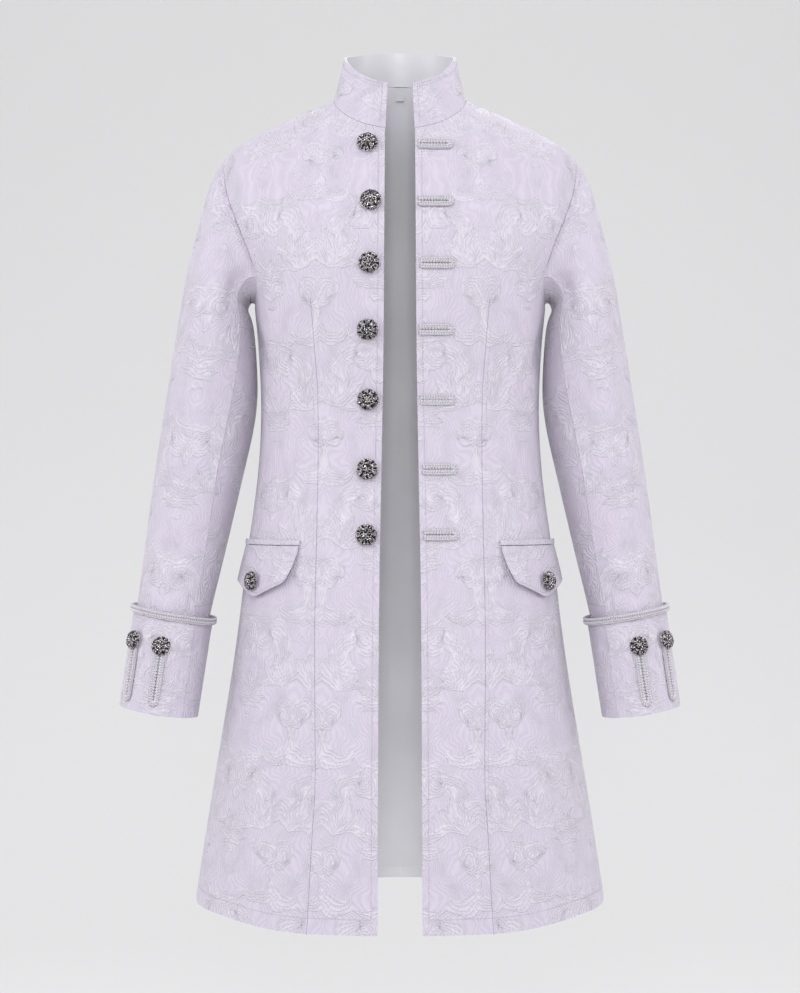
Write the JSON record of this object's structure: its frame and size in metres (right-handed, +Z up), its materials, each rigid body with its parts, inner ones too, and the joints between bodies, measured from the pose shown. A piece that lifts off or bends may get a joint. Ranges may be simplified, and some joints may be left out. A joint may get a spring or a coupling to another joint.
{
  "type": "frock-style tailcoat",
  "caption": "Knee-length costume coat, filled out as worn with no wearer, open in front, with stand collar, pocket flaps, deep cuffs, domed buttons and braid loops.",
  "frame": {"origin": "middle of the neck, level with the points where the shoulder seams meet the collar", "axes": "+Z up, front towards -Y, the wearer's left towards +X"},
  "size_m": [0.66, 0.3495, 1.0341],
  "materials": {
    "white_damask": "white satin damask with a lilac tint, figured with large scrolling leaves and flowers",
    "grey_lining": "mid grey lining",
    "collar_satin": "pale grey satin",
    "gimp_braid": "off-white gimp braid",
    "label_ribbon": "plain woven ribbon",
    "old_silver": "antiqued silver with darkened hollows"
  },
  "bodies": {
    "root": {"front_left": "white_damask", "back_left": "white_damask", "sleeve_upper_left": "white_damask", "sleeve_under_left": "white_damask", "cuff_upper_left": "white_damask", "cuff_under_left": "white_damask", "cuff_braid_left": "gimp_braid", "cuff_button_left_1": "old_silver", "cuff_loop_left_1": "gimp_braid", "cuff_button_left_2": "old_silver", "cuff_loop_left_2": "gimp_braid", "pocket_welt_left": "white_damask", "pocket_flap_left": "white_damask", "flap_button_left": "old_silver", "front_loop_1": "gimp_braid", "front_loop_2": "gimp_braid", "front_loop_3": "gimp_braid", "front_loop_4": "gimp_braid", "front_loop_5": "gimp_braid", "front_loop_6": "gimp_braid", "front_loop_7": "gimp_braid", "front_right": "white_damask", "back_right": "white_damask", "sleeve_upper_right": "white_damask", "sleeve_under_right": "white_damask", "cuff_upper_right": "white_damask", "cuff_under_right": "white_damask", "cuff_braid_right": "gimp_braid", "cuff_button_right_1": "old_silver", "cuff_loop_right_1": "gimp_braid", "cuff_button_right_2": "old_silver", "cuff_loop_right_2": "gimp_braid", "pocket_welt_right": "white_damask", "pocket_flap_right": "white_damask", "flap_button_right": "old_silver", "front_button_1": "old_silver", "front_button_2": "old_silver", "front_button_3": "old_silver", "front_button_4": "old_silver", "front_button_5": "old_silver", "front_button_6": "old_silver", "front_button_7": "old_silver", "collar": "white_damask", "collar_lining": "collar_satin", "lining_back": "grey_lining", "label": "label_ribbon"}
  },
  "joints": []
}
